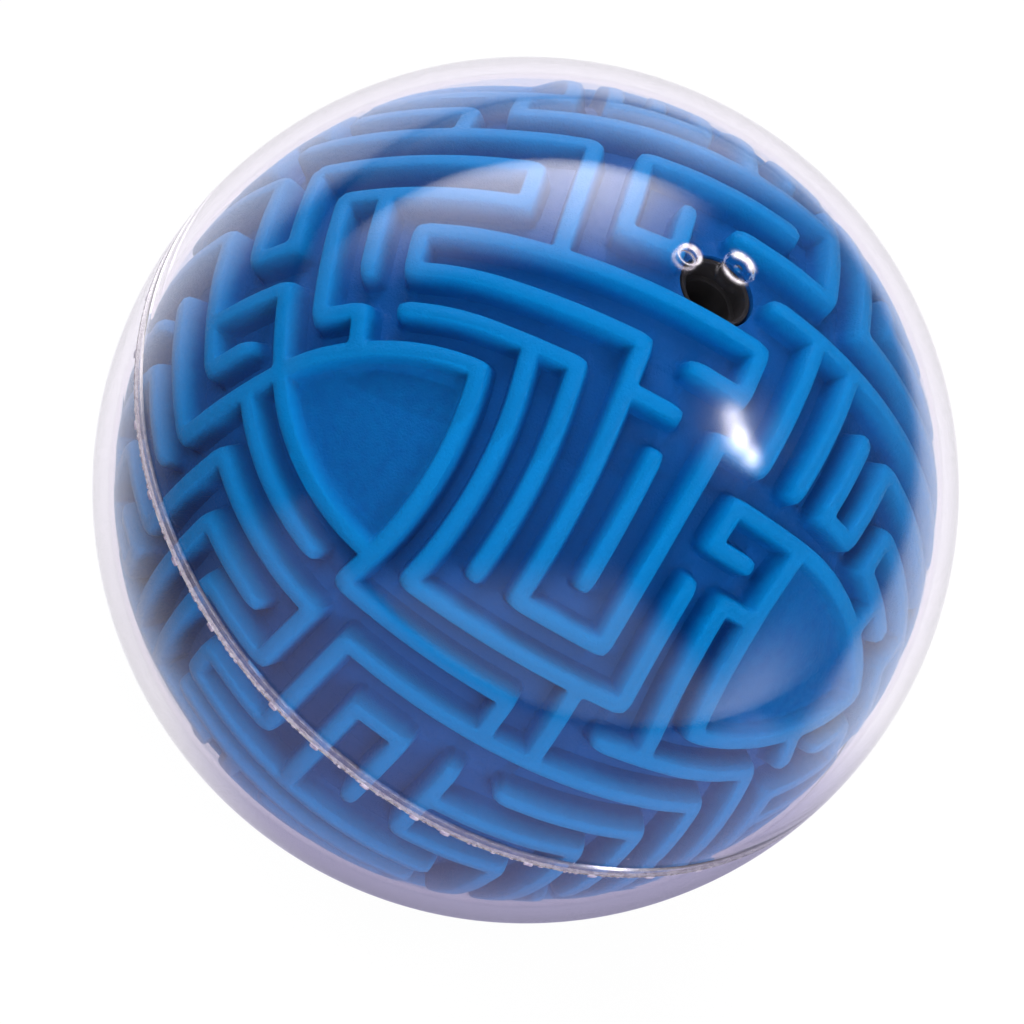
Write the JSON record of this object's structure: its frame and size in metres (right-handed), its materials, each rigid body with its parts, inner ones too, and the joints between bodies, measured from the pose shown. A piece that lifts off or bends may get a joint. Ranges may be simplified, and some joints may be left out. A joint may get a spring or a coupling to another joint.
{
  "type": "tilt maze game",
  "caption": "Hand-held ball maze: a clear welded sphere round a ball of raised walls, with a small steel ball to roll through the channels by tilting.",
  "frame": {"origin": "centre of the sphere", "axes": "+Z through the upper pole of the clear shell, where the moulding gate and the upper cup are; the welded seam lies in the plane z = 0; +X and +Y through the middles of two of the maze's flat faces"},
  "size_m": [0.1, 0.1, 0.1],
  "materials": {
    "clear_plastic": "gloss",
    "blue_plastic": "satin",
    "black_plastic": "matte",
    "polished_steel": "polished"
  },
  "bodies": {
    "case": {"shell_upper": "clear_plastic", "shell_lower": "clear_plastic", "maze_upper": "blue_plastic", "maze_lower": "blue_plastic", "cup_upper": "black_plastic", "cup_lower": "black_plastic"},
    "ball": {"steel_ball": "polished_steel"}
  },
  "joints": [
    {"name": "ball_roll", "type": "hinge", "parent": "case", "child": "ball", "pos_m": [0, 0, 0], "axis": [-0.9444, 0, -0.3287], "range_deg": [-11, 27]}
  ]
}
